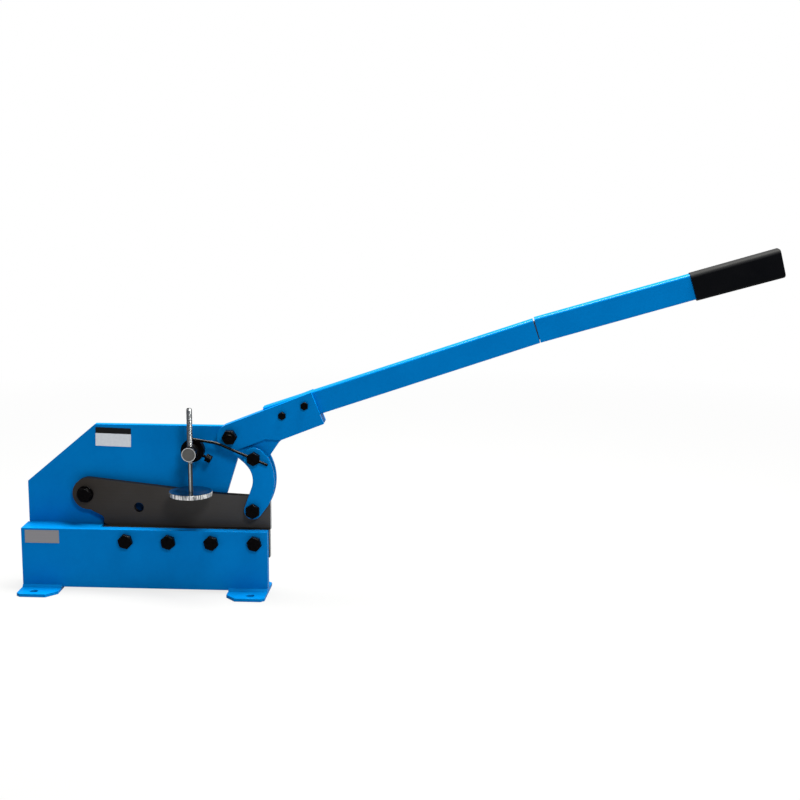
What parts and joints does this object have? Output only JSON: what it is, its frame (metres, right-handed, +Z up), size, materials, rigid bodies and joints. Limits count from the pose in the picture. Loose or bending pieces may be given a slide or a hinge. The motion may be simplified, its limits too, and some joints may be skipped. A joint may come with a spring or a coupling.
{
  "type": "bench plate shear",
  "caption": "Long-lever bench shear for plate and round bar: curved links drive a pivoting upper blade past a bolted lower blade, with a screw hold-down pad and flat feet.",
  "frame": {"origin": "midway between the two foot mounting holes, on the underside of the feet", "axes": "+X along the base towards the handle, +Y towards the rear (body plate side), +Z up"},
  "size_m": [1.3633, 0.1251, 0.6328],
  "materials": {
    "blue_paint": "glossy blue enamel",
    "blade_steel": "dark hardened, ground edges",
    "black_steel": "black oxide",
    "zinc_steel": "bright zinc plated",
    "pad_chrome": "turned and polished",
    "bare_steel": "plain rolled",
    "black_grip": "satin moulded",
    "white_plate": "satin, bare",
    "grey_plate": "satin, bare"
  },
  "bodies": {
    "frame": {"front_plate": "blue_paint", "left_foot": "blue_paint", "right_foot": "blue_paint", "foot_welds": "blue_paint", "top_filler_plate": "blue_paint", "body_plate": "blue_paint", "lower_blade": "blade_steel", "lower_blade_bolts": "black_steel", "blade_pivot_bolt": "black_steel", "blade_pivot_washer": "black_steel", "blade_pivot_nut": "black_steel", "lever_pivot_bolt": "black_steel", "lever_pivot_nut": "black_steel", "hold_down_nut": "black_steel", "spring_collar": "black_steel", "spring_rod": "black_steel", "hold_down_rod": "zinc_steel", "data_plate": "white_plate", "base_label": "grey_plate"},
    "lever": {"lever_front_cheek": "blue_paint", "lever_core": "blue_paint", "lever_spacer_bar": "blue_paint", "lever_rear_cheek": "blue_paint", "handle_bolts": "black_steel", "handle_nuts": "black_steel", "handle_inner_tube": "blue_paint", "handle_joiner": "bare_steel", "handle_outer_tube": "blue_paint", "handle_grip": "black_grip", "link_top_bolt": "black_steel", "link_top_nut": "black_steel"},
    "links": {"front_link": "blue_paint", "rear_link": "blue_paint", "link_bottom_bolt": "black_steel", "link_bottom_nut": "black_steel"},
    "upper_blade": {"upper_blade": "blade_steel"},
    "pad": {"hold_down_pad": "pad_chrome"},
    "spindle": {"hold_down_spindle": "zinc_steel"},
    "thumb_screw": {"collar_thumb_screw": "black_steel"}
  },
  "joints": [
    {"name": "lever_swing", "type": "hinge", "parent": "frame", "child": "lever", "pos_m": [0.1569, 0.069, 0.2865], "axis": [0, -1, 0], "range_deg": [-6, 45], "deforming": ["spring_rod"]},
    {"name": "link_swing", "type": "hinge", "parent": "lever", "child": "links", "pos_m": [0.2, 0.069, 0.2476], "axis": [0, -1, 0], "range_deg": [-56, 8]},
    {"name": "blade_swing", "type": "hinge", "parent": "frame", "child": "upper_blade", "pos_m": [-0.1133, 0.069, 0.1731], "axis": [0, -1, 0], "range_deg": [-1.1, 8]},
    {"name": "pad_height", "type": "slide", "parent": "frame", "child": "pad", "axis": [0, 0, 1], "range_m": [-0.0665, 0.02]},
    {"name": "spindle_turn", "type": "hinge", "parent": "pad", "child": "spindle", "pos_m": [0.09, 0.021, 0.262], "axis": [0, 0, 1], "range_deg": [-15990, 4830]},
    {"name": "thumb_screw_turn", "type": "hinge", "parent": "frame", "child": "thumb_screw", "pos_m": [0.11634, 0.0487, 0.24764], "axis": [0.878, 0, -0.4787], "range_deg": [-180, 180]}
  ],
  "couplings": [
    {"joint": "link_swing", "follows": "lever_swing", "ratio": -1.2175},
    {"joint": "blade_swing", "follows": "lever_swing", "ratio": 0.175},
    {"joint": "spindle_turn", "follows": "pad_height", "rad_per_m": 4188.8}
  ]
}
